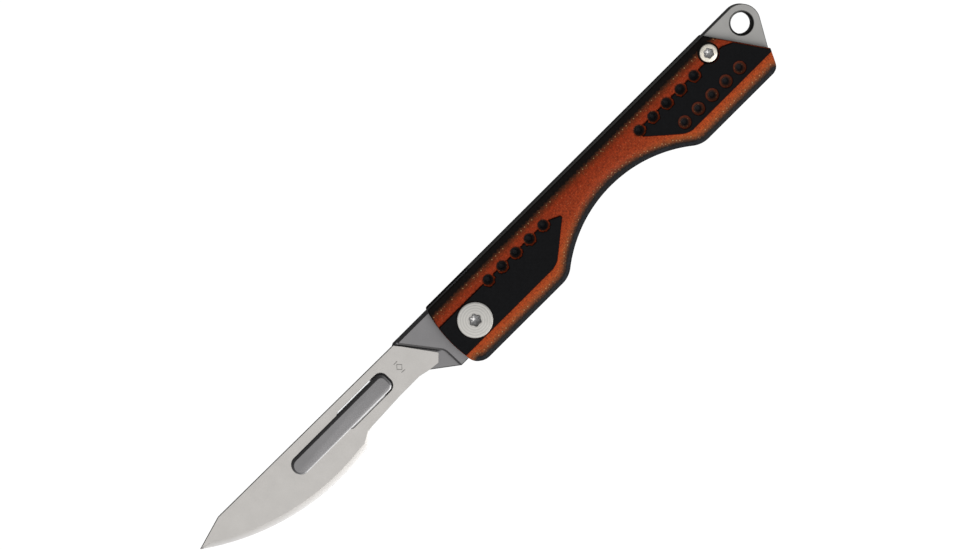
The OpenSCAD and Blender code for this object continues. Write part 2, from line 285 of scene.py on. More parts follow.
def make_object(name, vertices, faces, material, body, angle, marks):
    """Mesh object from millimetre points about the pivot, placed, shaded and riding on its body.
    Edges sharper than the angle stay sharp. marks gives named numbers for its points, in order, that the
    material reads; points past their end get 0."""
    mesh = bpy.data.meshes.new(name)
    mesh.from_pydata([PIVOT + Vector(v) * MM for v in vertices], [], faces)
    for key, numbers in marks.items():
        attribute = mesh.attributes.new(key, "FLOAT", "POINT")
        attribute.data.foreach_set("value", padded(numbers, len(vertices)))
    mesh.validate()
    work = bmesh.new()
    work.from_mesh(mesh)
    bmesh.ops.remove_doubles(work, verts=work.verts, dist=1e-8)
    bmesh.ops.recalc_face_normals(work, faces=work.faces)
    work.to_mesh(mesh)
    work.free()
    mesh.polygons.foreach_set("use_smooth", [True] * len(mesh.polygons))
    mesh.set_sharp_from_angle(angle=math.radians(angle))
    piece = bpy.data.objects.new(name, mesh)
    bpy.context.scene.collection.objects.link(piece)
    mesh.materials.append(material)
    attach(piece, body)
    return piece


def offset_loop(loop, widths):
    """Loop moved inwards by a width at each point; loops run anticlockwise, holes clockwise."""
    pts = np.array(loop, float)
    ahead = np.roll(pts, -1, 0) - pts
    ahead /= np.linalg.norm(ahead, axis=1)[:, None]
    back = np.roll(ahead, 1, 0)
    normal_a = np.stack([-ahead[:, 1], ahead[:, 0]], 1)
    normal_b = np.stack([-back[:, 1], back[:, 0]], 1)
    middle = normal_a + normal_b
    middle /= np.maximum(np.linalg.norm(middle, axis=1), 1e-9)[:, None]
    reach = np.clip((middle * normal_a).sum(1), 0.35, 1)
    return pts + middle * (np.array(widths, float) / reach)[:, None]


def signed_area(loop):
    """Area of a closed loop, positive when it runs anticlockwise."""
    pts = np.array(loop, float)
    nxt = np.roll(pts, -1, 0)
    return (pts[:, 0] * nxt[:, 1] - nxt[:, 0] * pts[:, 1]).sum() / 2


def band(a, b):
    """Faces between two rings of point numbers."""
    return list(zip(a, a[1:] + a[:1], b[1:] + b[:1], b))


def plate(loops, low, high, chamfers):
    """Vertices and faces of a flat plate with chamfered edges.
    chamfers gives, for each loop, (width, top drop, bottom rise), each a number or one per point."""
    vertices, faces, tops, order = [], [], [], []
    for n, (loop, chamfer) in enumerate(zip(loops, chamfers)):
        if (n == 0) != (signed_area(loop) > 0):
            loop = loop[::-1]
            chamfer = tuple(c[::-1] if isinstance(c, list) else c for c in chamfer)
        count = len(loop)
        width, drop, rise = (c if isinstance(c, list) else [c] * count for c in chamfer)
        inner = offset_loop(loop, width)
        rings = [[(x, y, high) for x, y in inner],
                 [(p[0], p[1], high - d) for p, d in zip(loop, drop)],
                 [(p[0], p[1], low + r) for p, r in zip(loop, rise)],
                 [(x, y, low) for x, y in inner]]
        first = len(vertices)
        numbers = [list(range(first + k * count, first + (k + 1) * count)) for k in range(4)]
        vertices += sum(rings, [])
        for upper, lower in zip(numbers, numbers[1:]):
            faces += band(upper, lower)
        tops.append([tuple(p) for p in inner])
        order += zip(numbers[0], numbers[3])
    _, triangles, given = triangulate(tops)
    index = [order[g] for g in given]
    for t in triangles:
        faces.append(tuple(index[i][0] for i in t))
        faces.append(tuple(index[i][1] for i in reversed(t)))
    return vertices, faces


def carved(loops, lines, extra, height, walls, side=1):
    """Solid with a face that follows height(points) over its plan and a flat back.
    height also gives a number for each point; walls(ring) gives the (ring, z) levels down to the back."""
    xy, triangles, _ = triangulate(loops, lines, extra)
    top, marks = height(xy)
    vertices = [(x, y, side * z) for (x, y), z in zip(xy, top)]
    faces = [tuple(int(i) for i in t) for t in triangles]
    backs = []
    for loop in boundary_loops(triangles):
        previous, levels = loop, walls(xy[loop])
        for ring, z in levels:
            first = len(vertices)
            vertices += [(p[0], p[1], side * z) for p in ring]
            now = list(range(first, len(vertices)))
            faces += band(previous, now)
            previous = now
        backs.append((previous, levels[-1][0]))
    backs.sort(key=lambda item: -abs(signed_area(item[1])))
    _, flat, given = triangulate([[tuple(p) for p in ring] for _, ring in backs])
    order = [i for indices, _ in backs for i in indices]
    faces += [tuple(order[given[i]] for i in reversed(t)) for t in flat]
    return vertices, faces, marks


def loft(rings):
    """Closed solid through rings of the same number of points."""
    count = len(rings[0])
    numbers = [tuple(range(k * count, (k + 1) * count)) for k in range(len(rings))]
    faces = [numbers[0][::-1], numbers[-1]]
    for a, b in zip(numbers, numbers[1:]):
        faces += band(a, b)
    return sum(rings, []), faces


# ---------------- materials

class Nodes:
    """Small helper that adds and links shader nodes."""

    def __init__(self, name):
        self.material = bpy.data.materials.new(name)
        self.material.use_nodes = True
        self.tree = self.material.node_tree
        self.tree.nodes.clear()
        self.output = self.tree.nodes.new("ShaderNodeOutputMaterial")
        self.shader = self.tree.nodes.new("ShaderNodeBsdfPrincipled")
        self.link(self.shader.outputs[0], self.output.inputs[0])
        self.mm = self.scaled(self.add("ShaderNodeTexCoord").outputs["Object"], 1 / MM)

    def add(self, kind, **settings):
        node = self.tree.nodes.new(kind)
        for key, value in settings.items():
            setattr(node, key, value)
        return node

    def link(self, a, b):
        self.tree.links.new(a, b)

    def put(self, socket, value):
        if hasattr(value, "is_output"):
            self.link(value, socket)
        else:
            socket.default_value = value

    def math(self, operation, a, b=0.0, clamp=False):
        node = self.add("ShaderNodeMath", operation=operation, use_clamp=clamp)
        self.put(node.inputs[0], a)
        self.put(node.inputs[1], b)
        return node.outputs[0]

    def plus(self, a, b):
        return self.math("ADD", a, b)

    def minus(self, a, b):
        return self.math("SUBTRACT", a, b)

    def times(self, *factors):
        product = factors[0]
        for factor in factors[1:]:
            product = self.math("MULTIPLY", product, factor)
        return product

    def between(self, value, low, high):
        return self.times(self.math("GREATER_THAN", value, low), self.math("LESS_THAN", value, high))

    def scaled(self, vector, factor):
        """A vector or colour times a number."""
        node = self.add("ShaderNodeVectorMath", operation="SCALE")
        self.put(node.inputs[0], vector)
        self.put(node.inputs["Scale"], factor)
        return node.outputs[0]

    def marked(self, name):
        """The number that a piece gives to each of its points under this name."""
        return self.add("ShaderNodeAttribute", attribute_name=name).outputs["Fac"]

    def noise(self, scale, detail=3.0, rough=0.5, vector=None, stretch=None):
        node = self.add("ShaderNodeTexNoise")
        node.inputs["Scale"].default_value = scale
        node.inputs["Detail"].default_value = detail
        node.inputs["Roughness"].default_value = rough
        source = vector or self.mm
        if stretch:
            mapping = self.add("ShaderNodeVectorMath", operation="MULTIPLY")
            self.link(source, mapping.inputs[0])
            mapping.inputs[1].default_value = stretch
            source = mapping.outputs[0]
        self.link(source, node.inputs["Vector"])
        return node.outputs["Fac"]

    def ramp(self, value, stops):
        """Colour that runs straight from stop to stop; stops are (place, colour)."""
        node = self.add("ShaderNodeValToRGB")
        while len(node.color_ramp.elements) < len(stops):
            node.color_ramp.elements.new(0.5)
        for element, (position, colour) in zip(node.color_ramp.elements, stops):
            element.position = position
            element.color = (*colour, 1)
        self.put(node.inputs[0], value)
        return node.outputs[0]

    def mix(self, factor, a, b):
        node = self.add("ShaderNodeMix", data_type="RGBA")
        self.put(node.inputs["Factor"], factor)
        self.put(node.inputs["A"], (*a, 1) if isinstance(a, tuple) else a)
        self.put(node.inputs["B"], (*b, 1) if isinstance(b, tuple) else b)
        return node.outputs["Result"]

    def span(self, value, low, high, to_low, to_high):
        """value carried from the range low..high to to_low..to_high, and held at both ends."""
        node = self.add("ShaderNodeMapRange")
        for socket, number in zip(node.inputs, (value, low, high, to_low, to_high)):
            self.put(socket, number)
        return node.outputs[0]

    def axes(self):
        node = self.add("ShaderNodeSeparateXYZ")
        self.link(self.mm, node.inputs[0])
        return node.outputs

    def bump(self, height, distance, strength):
        node = self.add("ShaderNodeBump")
        node.inputs["Strength"].default_value = strength
        node.inputs["Distance"].default_value = distance
        self.link(height, node.inputs["Height"])
        self.link(node.outputs[0], self.shader.inputs["Normal"])

    def finish(self, metallic, **values):
        self.shader.inputs["Metallic"].default_value = metallic
        for key, value in values.items():
            self.put(self.shader.inputs[key.replace("_", " ")], value)
        return self.material


def srgb(r, g, b):
    """Scene-linear colour from 8-bit display values."""
    return tuple((c / 255 / 12.92) if c / 255 <= 0.04045 else ((c / 255 + 0.055) / 1.055) ** 2.4
                 for c in (r, g, b))


def layer_colours(n, depth):
    """Colours of the layers by depth in millimetres: on the lit belly side, and a darker, redder copy towards the
    spine that is painted shade.
    """
    black = srgb(10, 10, 12)
    belly = n.ramp(depth, [(0.09, black), (0.20, srgb(92, 30, 10)), (0.29, srgb(185, 75, 29)),
                           (0.38, srgb(174, 77, 29)), (0.50, srgb(152, 74, 31)), (0.60, srgb(133, 67, 32)),
                           (0.72, srgb(98, 55, 32)), (0.86, srgb(58, 40, 30)), (1.02, srgb(22, 22, 24)),
                           (1.35, srgb(40, 41, 44))])
    spine = n.ramp(depth, [(0.09, black), (0.20, srgb(84, 24, 9)), (0.29, srgb(154, 53, 22)),
                           (0.42, srgb(164, 58, 25)), (0.54, srgb(145, 55, 25)), (0.64, srgb(125, 52, 25)),
                           (0.74, srgb(104, 50, 28)), (0.84, srgb(74, 42, 26)), (0.94, srgb(36, 24, 18)),
                           (1.06, srgb(14, 13, 13)), (1.35, srgb(26, 22, 20))])
    return belly, spine


def laminate_material():
    """Layered glass-fibre laminate: the colour follows the depth below the pad's face."""
    n = Nodes("laminate")
    x, y, z = n.axes()
    middle_y, middle_z = PIVOT.y / MM, PIVOT.z / MM
    depth = n.minus(PAD_Z, n.math("ABSOLUTE", n.minus(z, middle_z)))

    # Glass cloth: threads run along x in half of the weave's squares and along y in the others
    pitch = 0.95
    turns = 2 * math.pi / pitch
    weave = n.times(n.math("SINE", n.times(x, turns)), n.math("SINE", n.times(y, turns)))
    over = n.math("GREATER_THAN", weave, 0.0)
    fibre_x = n.noise(1.9, 3, 0.65, stretch=(0.55, 2.0, 1.0))
    fibre_y = n.noise(1.9, 3, 0.65, stretch=(2.0, 0.55, 1.0))
    fibre = n.plus(n.times(fibre_x, over), n.times(fibre_y, n.minus(1.0, over)))

    # Layers, whose borders wander more the deeper they are
    wander = n.minus(n.noise(2.2, 4, 0.65), 0.5)
    shaken = n.plus(depth, n.times(wander, n.span(depth, 0.45, 0.8, 0.08, 0.3)))
    shaken = n.plus(shaken, n.times(weave, 0.035))
    belly, spine = layer_colours(n, shaken)
    # The spine side takes the darker, redder colours as painted shade, more of them near the spine's edge
    spine_shade_share = n.plus(n.span(y, middle_y - 2.5, middle_y + 1.8, 0.0, 0.75),
                           n.span(y, middle_y + 3.0, middle_y + 4.4, 0.0, 0.25))
    base = n.mix(spine_shade_share, belly, spine)

    # Streaks of fibre, and painted shade in the milled recesses and along the cut edges: darker and greyer towards
    # the dimples' floors
    recess_shade = n.marked("recess_shade")
    shade = n.times(n.span(fibre, 0.36, 0.64, 0.66, 1.34), n.span(recess_shade, 0.0, 1.0, 1.0, 0.45))
    recess_shaded = n.mix(n.times(recess_shade, 0.75), n.scaled(base, shade), srgb(33, 33, 35))

    # Pale flecks on the open slopes: stray ones, and dots where the cloth comes to the surface
    speck = n.times(n.math("GREATER_THAN", n.noise(4.6, 1, 0.5), 0.72), n.between(shaken, 0.24, 0.85), 0.5)
    fringe = n.minus(shaken, n.times(spine_shade_share, 0.15))
    dots = n.times(n.span(weave, 0.6, 0.9, 0.0, 1.0), n.math("GREATER_THAN", n.noise(0.9, 2, 0.5), 0.47))
    dots = n.times(dots, n.between(fringe, 0.52, 0.72), 0.7)
    open_face = n.math("SUBTRACT", 1.0, recess_shade, clamp=True)
    colour = n.mix(n.times(n.math("MAXIMUM", speck, dots), open_face), recess_shaded, srgb(218, 164, 112))

    n.bump(n.plus(n.times(fibre, 0.6), n.times(weave, 0.2)), 0.00003, 0.5)
    rough = n.span(n.noise(1.2), 0.3, 0.7, 0.42, 0.55)
    n.shader.inputs["Specular IOR Level"].default_value = 0.1
    return n.finish(0.0, Base_Color=colour, Roughness=rough)


def metal_material(name, colour, rough, grain=(1, 1, 1), grain_scale=6.0, contrast=0.08, polish_and_painted_light=False):
    """Satin metal with fine grain; grain stretches the noise into brushing.
    With the flag set, it is smoother and lightened towards white as painted highlight where a piece marks a bright
    finish, and darkened as painted shade where a piece marks shade."""
    n = Nodes(name)
    fine = n.noise(grain_scale, 4, 0.6, stretch=grain)
    cloud = n.noise(0.25, 2, 0.5)
    tone = n.plus(n.span(fine, 0.25, 0.75, -contrast, contrast),
                  n.span(cloud, 0.3, 0.7, -contrast * 0.5, contrast * 0.5))
    base = n.scaled(colour, n.plus(1.0, tone))
    finish = n.span(fine, 0.3, 0.7, rough - 0.05, rough + 0.05)
    n.bump(fine, 0.000004, 0.6)
    if polish_and_painted_light:
        polish_and_highlight, painted_shade = n.marked("polish_and_highlight"), n.marked("painted_shade")
        # Painted highlight, with a smoother finish, and painted shade, both read from the piece's marks
        base = n.mix(polish_and_highlight, base, srgb(240, 240, 240))
        base = n.mix(n.times(n.math("MINIMUM", painted_shade, 1.0), 0.9), base, srgb(20, 20, 21))
        finish = n.minus(finish, n.times(polish_and_highlight, 0.25))
    return n.finish(1.0, Base_Color=base, Roughness=finish)


def turned_material(name, colour, rough, centre, pitch, contrast):
    """Lathe-turned metal: fine rings about a centre given in millimetres about the pivot."""
    n = Nodes(name)
    x, y, z = n.axes()
    dx, dy = n.minus(x, centre[0] + PIVOT.x / MM), n.minus(y, centre[1] + PIVOT.y / MM)
    radius = n.math("SQRT", n.plus(n.times(dx, dx), n.times(dy, dy)))
    ring = n.math("SINE", n.times(radius, 2 * math.pi / pitch))
    rings_only = n.add("ShaderNodeCombineXYZ")
    n.link(n.times(radius, 9.0), rings_only.inputs[0])
    uneven = n.noise(1.0, 3, 0.6, vector=rings_only.outputs[0])
    height = n.plus(n.times(ring, 0.35), uneven)
    n.bump(height, 0.000012, 0.8)
    tint = n.scaled(colour, n.span(height, 0.0, 1.1, 1 - contrast, 1 + contrast))
    socket = n.marked("socket")
    base = n.mix(socket, tint, srgb(190, 188, 186))
    finish = n.minus(n.span(uneven, 0.3, 0.7, rough - 0.04, rough + 0.05), n.times(socket, 0.1))
    return n.finish(1.0, Base_Color=base, Roughness=finish)


def etched_mark(n, centre):
    """1 on a small diamond between two ticks, etched in the blade's front face."""
    x, y, z = n.axes()
    diamond_r, line_w, tick_y, tick_half, tick_w = 0.62, 0.1, 1.05, 0.45, 0.09
    along = n.math("ABSOLUTE", n.minus(x, PIVOT.x / MM + centre[0]))
    up = n.math("ABSOLUTE", n.minus(y, PIVOT.y / MM + centre[1]))
    ring = n.math("ABSOLUTE", n.minus(n.plus(along, n.times(up, 0.9)), diamond_r))
    diamond = n.math("LESS_THAN", ring, line_w)
    tick = n.times(n.math("LESS_THAN", n.math("ABSOLUTE", n.minus(up, tick_y)), tick_w),
                   n.math("LESS_THAN", along, tick_half))
    front = n.math("GREATER_THAN", z, BLADE_HIGH.z + PIVOT.z / MM - 0.03)
    return n.times(n.math("MAXIMUM", diamond, tick), front)


def blade_material():
    """Satin strip steel ground lengthwise, with its etched mark, and its ground edge lightened, partly a brighter
    ground finish and partly painted highlight.
    """
    n = Nodes("blade_steel")
    fine = n.noise(5.0, 4, 0.65, stretch=(0.25, 2.6, 1))
    tone = n.plus(n.span(fine, 0.25, 0.75, 0.95, 1.03), n.span(n.noise(9.0, 2), 0.3, 0.7, -0.03, 0.03))
    tone = n.plus(tone, n.span(n.noise(0.35, 3, 0.6), 0.3, 0.7, -0.03, 0.03))
    etched = etched_mark(n, (-16.2, 3.3))
    colour = n.mix(n.times(etched, 0.65), n.scaled(srgb(198, 194, 189), tone), srgb(90, 88, 86))
    # The ground bevel is lightened: partly its brighter ground finish, partly painted highlight
    colour = n.mix(n.math("POWER", n.marked("ground"), 1.3), colour, srgb(222, 219, 216))
    n.bump(n.minus(n.times(fine, 0.4), etched), 0.000008, 0.6)
    return n.finish(1.0, Base_Color=colour, Roughness=n.span(fine, 0.3, 0.7, 0.36, 0.46))


def floor_material():
    """Lit white to the eye; in reflections it is bright on the belly side and dark on the spine side."""
    n = Nodes("floor_white")
    x, y, z = n.axes()
    seen = n.add("ShaderNodeLightPath").outputs["Is Camera Ray"]
    glow = n.span(y, -160, 10, 0.5, 0.04)
    strength = n.plus(seen, n.times(n.minus(1.0, seen), glow))
    n.shader.inputs["Emission Color"].default_value = (1, 1, 1, 1)
    tone = n.ramp(n.noise(0.02, 2), [(0.3, (0.04, 0.04, 0.04)), (0.7, (0.06, 0.06, 0.06))])
    return n.finish(0.0, Base_Color=tone, Roughness=0.95, Emission_Strength=strength)


# ---------------- pieces

def scale_height(points, outline):
    """Height of the scale's face over each plan point, and how much painted shade it gets in a milled dimple or
    along a cut edge.
    """
    rim_w, rim_slope, cut_w, cut_slope = 0.12, 0.8, 0.2, 1.2
    cut_shade, cut_shade_w, open_shade, deep_shade = 0.5, 0.3, 0.25, 0.68
    floor_from, floor_over, pilot_edge, waist_reach = 0.6, 0.25, 0.12, 10
    from_spine = SPINE_Y - points[:, 1]
    from_belly = distance_to(points, belly_edge()[7:-7])
    belly_w = BELLY_EDGE_W + WAIST_EXTRA_W * np.clip(1 - ((points[:, 0] - WAIST[0]) / waist_reach) ** 2, 0, 1)
    slope = np.maximum(np.clip(1 - from_spine / SPINE_EDGE_W, 0, 1), np.clip(1 - from_belly / belly_w, 0, 1))
    rim = distance_to(points, outline, True)
    z = BASE_Z - EDGE_DROP * slope ** EDGE_POWER - np.clip(rim_w - rim, 0, 1) * rim_slope
    for pad in (rounded(FRONT_PAD), rounded(REAR_PAD)):
        depth = np.where(inside(points, pad), distance_to(points, pad, True), 0)
        z += PAD_H * np.clip(depth / PAD_WALL, 0, 1)
    cut = np.minimum(distance_to(points, front_edge()),
                     distance_to(points, [TAIL, (REAR_TOP_X, SPINE_Y)]))
    z -= np.clip(cut_w - cut, 0, 1) * cut_slope
    # Painted shade along the front and tail cut edges, and in each dimple, darkest at its floor
    recess_shade = cut_shade * np.clip(1 - cut / cut_shade_w, 0, 1)
    for cx, cy, ball_r, lift in DIMPLES:
        r = np.hypot(points[:, 0] - cx, points[:, 1] - cy)
        ball = PAD_Z + lift - np.sqrt(np.maximum(ball_r ** 2 - r ** 2, 0))
        ball -= PILOT_DROP * np.clip((PILOT_R - r) / pilot_edge, 0, 1)
        cut_here = (r < ball_r) & (ball < z)
        ring = open_shade if lift == 0 else deep_shade
        floor = np.clip((PAD_Z - ball - floor_from) / floor_over, 0, 1)
        recess_shade = np.where(cut_here, ring + (1 - ring) * floor, recess_shade)
        z = np.where(cut_here, ball, z)
    return z, recess_shade


def clip_line(line, outline):
    """The stretch of a closed pad line that lies inside the outline."""
    pts = np.array(line, float)
    keep = inside(pts, outline) & (distance_to(pts, outline, True) > 0.02)
    start = int(np.argmax(keep & ~np.roll(keep, 1))) if not keep.all() else 0
    pts, keep = np.roll(pts, -start, 0), np.roll(keep, -start)
    return [tuple(p) for p, k in zip(pts, keep) if k]


def pad_lines(outline):
    """The foot and then the top edge of each pad's sloping wall, where they cross the scale."""
    feet, tops = [], []
    for pad in (FRONT_PAD, REAR_PAD):
        loop = resample(rounded(pad), 0.3)
        feet.append(clip_line(loop, outline))
        if signed_area(loop) < 0:
            loop = loop[::-1]
        inner = offset_loop(loop, [PAD_WALL] * len(loop))
        tops.append(clip_line([tuple(p) for p in inner], outline))
    return feet + tops


def clear_stretches(line, blocked):
    """The stretches of a line that keep out of the blocked circles."""
    stretches = [[]]
    for p in line:
        if all(math.dist(p, c) > r for c, r in blocked):
            stretches[-1].append(p)
        elif stretches[-1]:
            stretches.append([])
    return [s for s in stretches if len(s) > 1]


def face_points(outline, lines, blocked):
    """Points over a scale's face: an even grid, then rows inside the rim and rings in each dimple."""
    step, rim_gap, line_gap = 0.34, 0.5, 0.12
    low, high = np.array(outline).min(0), np.array(outline).max(0)
    grid = np.array([(x, y) for row, y in enumerate(np.arange(low[1], high[1], step * 0.87))
                     for x in np.arange(low[0] + (row % 2) * step / 2, high[0], step)])
    keep = inside(grid, outline) & (distance_to(grid, outline, True) > rim_gap)
    for line in lines:
        keep &= distance_to(grid, line) > line_gap
    round_cuts = [((0, 0), PIVOT_SEAT_R + 0.2), (BODY, BODY_SEAT_R + 0.15)]
    round_cuts += [((x, y), r + 0.05) for x, y, r, _ in DIMPLES]
    for (cx, cy), r in round_cuts:
        keep &= np.hypot(grid[:, 0] - cx, grid[:, 1] - cy) > r
    points = [tuple(p) for p in grid[keep]]
    for inset in (0.06, 0.14, 0.3):
        ring = offset_loop(outline, [inset] * len(outline))
        ring = ring[distance_to(ring, outline, True) > inset * 0.9]
        points += [tuple(p) for p in ring]
    for cx, cy, ball_r, _ in DIMPLES:
        points.append((cx, cy))
        for r in np.arange(0.125, ball_r, 0.1245):
            points += circle((cx, cy), r, max(8, int(2 * math.pi * r / 0.13)))
    return [p for p in points if all(math.dist(p, c) > r for c, r in blocked)]


def handle_scale(name, side, material):
    """One laminate scale; side is 1 in front and -1 behind."""
    outline = resample(scale_outline(), 0.4)
    holes = [circle((0, 0), PIVOT_SEAT_R, 72), circle(BODY, BODY_SEAT_R, 48)]
    blocked = [((0, 0), PIVOT_SEAT_R + 0.02), (BODY, BODY_SEAT_R + 0.02)]
    lines = pad_lines(outline)
    extra = face_points(outline, lines, blocked)
    lines = [stretch for line in lines for stretch in clear_stretches(line, blocked)]

    def walls(ring):
        """Straight down at the rim; at a screw, a counterbore and then its bore."""
        for centre, seat_r, bore_r in ((0, 0), PIVOT_SEAT_R, PIVOT_BORE_R), (BODY, BODY_SEAT_R, BODY_BORE_R):
            if np.allclose(np.hypot(*(ring - centre).T), seat_r, atol=1e-3):
                bore = centre + (ring - centre) * bore_r / seat_r
                return [(ring, HEAD_SEAT), (bore, HEAD_SEAT), (bore, SCALE_IN_Z)]
        return [(ring, SCALE_IN_Z)]

    vertices, faces, recess_shade = carved([outline] + holes, lines, extra,
                                     lambda points: scale_height(points, outline), walls, side)
    piece = make_object(name, vertices, faces, material, "handle", 32, {"recess_shade": recess_shade})
    return piece


def turned(centre, side, r, low, high, edge, socket_r, socket_depth, dome, shaft):
    """Vertices, faces and socket values of a domed round head with a six-lobed socket, on its shaft.
    The rings run from the middle of the socket's floor, over the head, to the end of the shaft."""
    steps, middle_r, cone, lead, broken = 96, 0.02, 0.45, 0.07, 0.05
    shaft_r, shaft_end, shaft_edge = *shaft, 0.15
    angles = [2 * math.pi * i / steps for i in range(steps)]
    lobes = [socket_r * (0.92 + 0.08 * math.cos(6 * a)) for a in angles]
    floor_z = high - socket_depth
    rings = [[(middle_r, floor_z - cone * socket_r)] * steps]
    rings.append([(0.93 * v, floor_z) for v in lobes])
    rings.append([(0.97 * v, floor_z + 0.05) for v in lobes])
    rings.append([(v, high + dome - lead) for v in lobes])
    in_socket = len(rings)
    for share in (0.0, 0.2, 0.4, 0.6, 0.8, 0.93, 1.0):
        z = high + dome * (1 - share * share)
        rings.append([((v + lead) * (1 - share) + (r - edge) * share, z) for v in lobes])
    for turn in (20, 45, 70, 90):
        t = math.radians(turn)
        rings.append([(r - edge + edge * math.sin(t), high - edge + edge * math.cos(t))] * steps)
    for radius, z in ((r, low + broken), (r - broken, low), (shaft_r, low),
                      (shaft_r, shaft_end + shaft_edge), (shaft_r - shaft_edge, shaft_end)):
        rings.append([(radius, z)] * steps)
    vertices, faces = loft([[(centre[0] + radius * math.cos(a), centre[1] + radius * math.sin(a), side * z)
                             for a, (radius, z) in zip(angles, ring)] for ring in rings])
    return vertices, faces, [1.0] * in_socket * steps


def hardware(pivot_steel, bright_steel):
    """The two screws and the two barrels with turned heads."""
    screw_end, barrel_end = -2.0, 0.05 - HEAD_SEAT
    specs = [
        ("pivot_screw", pivot_steel, "hardware_steel", (0, 0), 1,
         dict(r=PIVOT_HEAD_R, high=PIVOT_SCREW_HIGH.z - 0.06, edge=0.15, socket_r=1.2,
              socket_depth=0.35, dome=0.06, shaft=(1.28, screw_end))),
        ("pivot_barrel", pivot_steel, "hardware_steel", (0, 0), -1,
         dict(r=PIVOT_HEAD_R, high=PAD_Z - 0.02, edge=0.22, socket_r=1.15,
              socket_depth=0.8, dome=0.02, shaft=(2.4, barrel_end))),
        ("body_screw", bright_steel, "bright_screw", BODY, 1,
         dict(r=BODY_HEAD_R, high=BODY_SCREW_HIGH.z - 0.05, edge=0.2, socket_r=0.98,
              socket_depth=0.28, dome=0.05, shaft=(0.73, screw_end))),
        ("body_barrel", bright_steel, "bright_screw", BODY, -1,
         dict(r=BODY_HEAD_R, high=PAD_Z - 0.05, edge=0.3, socket_r=0.85,
              socket_depth=0.75, dome=0.05, shaft=(1.2, barrel_end))),
    ]
    for node, material, slot, centre, side, shape in specs:
        vertices, faces, socket = turned(centre, side, low=HEAD_SEAT, **shape)
        piece = make_object(node + "_turned", vertices, faces, material, "handle", 35, {"socket": socket})
        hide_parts(node)


def backspacer(material):
    """Spine bar, tail block and rounded lanyard tab with broken edges."""
    bar_y, block_x, block_low, swing_r, collar_r = 4.1, 69.0, -5.6, 9.3, 2.3
    start = math.degrees(math.asin(SPINE_Y / swing_r))
    touch = math.degrees(math.acos(TAB_R / (TAB[1] - TAIL[1]))) - 90
    loop = arc((0, 0), swing_r, start, 33, 7) + [(9.6, bar_y), (BODY[0] - 2.6, bar_y)]
    loop += arc(BODY, collar_r, 195, 290, 12) + [(68.2, 1.2)]
    loop += [(block_x, -0.5), (block_x, block_low), (tail_line(block_low) - 0.3, block_low)]
    loop += [(tail_line(-5), -5), TAIL] + arc(TAB, TAB_R, touch, 90, 24)
    loops = [resample(loop, 1.5), circle(LANYARD, LANYARD_R, 64), circle(BODY, BODY_BORE_R, 32)]
    broken_edges = [(width, width, width) for width in (0.14, 0.4, 0.05)]
    vertices, faces = plate(loops, SPACER_LOW.z, SPACER_HIGH.z, broken_edges)

    # Painted shade on the walls, darker than the faces, most at their feet and on the belly side of the hole
    upper, lower, hole, hole_swing = 0.3, 0.7, 1.65, 1.35
    painted_shade = []
    for loop in loops:
        painted_shade += [shade for shade in (0.0, upper, lower, 0.0) for _ in loop]
    for i, (x, y, z) in enumerate(vertices):
        if math.dist((x, y), LANYARD) < LANYARD_R + 0.01:
            painted_shade[i] = hole + hole_swing * (LANYARD[1] - y) / LANYARD_R
    piece = make_object("backspacer_blasted", vertices, faces, material, "handle", 30, {"painted_shade": painted_shade})
    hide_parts("backspacer")


LUG_FRONT, LUG_REAR, LUG_Y, SLOT_Y = -42.1, -21.3, 3.3, 3.35
# How much squarer than a half circle the rear ends of lug and slot are, and how much longer
SQUARE, LONGER = 0.55, 0.17


def pill(r):
    """Outline at a distance r round the lug's middle line; each point also tells how far, from -1 to 1,
    it faces the spine."""
    square = min(SQUARE, r)
    out = []
    for a in np.linspace(-90, 90, 20):
        c, s = math.cos(math.radians(a)), math.sin(math.radians(a))
        y = LUG_Y + math.copysign(square, a) + (r - square) * s
        out.append((LUG_REAR + LONGER + square + (r - square) * c, y, s))
    for a in np.linspace(90, 270, 20):
        c, s = math.cos(math.radians(a)), math.sin(math.radians(a))
        out.append((LUG_FRONT + r * c, LUG_Y + r * s, s))
    return out


def lug():
    """Upright lug: a narrow neck, an overhanging rim, and slopes that are wider on the spine side.
    Also gives each point's smoother finish with painted highlight, high along the belly side and round the rear
    end, and its painted shade, high along the spine side."""
    seat, rim, top = BLADE_LOW.z, BLADE_HIGH.z + 0.02, HOLDER_HIGH.z - 0.1
    neck_r, rim_r, slope_w, slope_h = 1.35, 1.76, 0.41, 0.3
    edge = [(x, y + 0.1 * max(0.0, s), s) for x, y, s in pill(rim_r)]
    rings = [[(x, y, z) for x, y, _ in pill(neck_r)] for z in (seat - 0.1, rim)]
    rings.append([(x, y, rim) for x, y, _ in edge])
    rings.append([(x, y, top - slope_h - 0.19 * s) for x, y, s in edge])
    crest = []
    for (x, y, s), (mid_x, mid_y, _) in zip(pill(rim_r), pill(0)):
        keep = 1 - (slope_w + 0.12 * s) / rim_r
        crest.append((mid_x + (x - mid_x) * keep, mid_y + (y - mid_y) * keep, top))
    vertices, faces = loft(rings + [crest])

    # Smoother finish with painted highlight on the belly side and round the rear end, painted shade on the spine
    # side
    shine, shade = [], []
    for x, _, s in pill(0):
        rear_end = x > LUG_REAR and s > -0.99
        shine.append(0.5 * min(1.0, max(0.0, 0.6 - s)) if rear_end else 0.42 * max(0.0, -s))
        shade.append(0.5 * max(0.0, s))
    on_neck = [0.0] * (2 * len(crest))
    shine, shade = (padded(on_neck + values * 2, len(vertices)) for values in (shine, shade))
    return vertices, faces, shine, shade


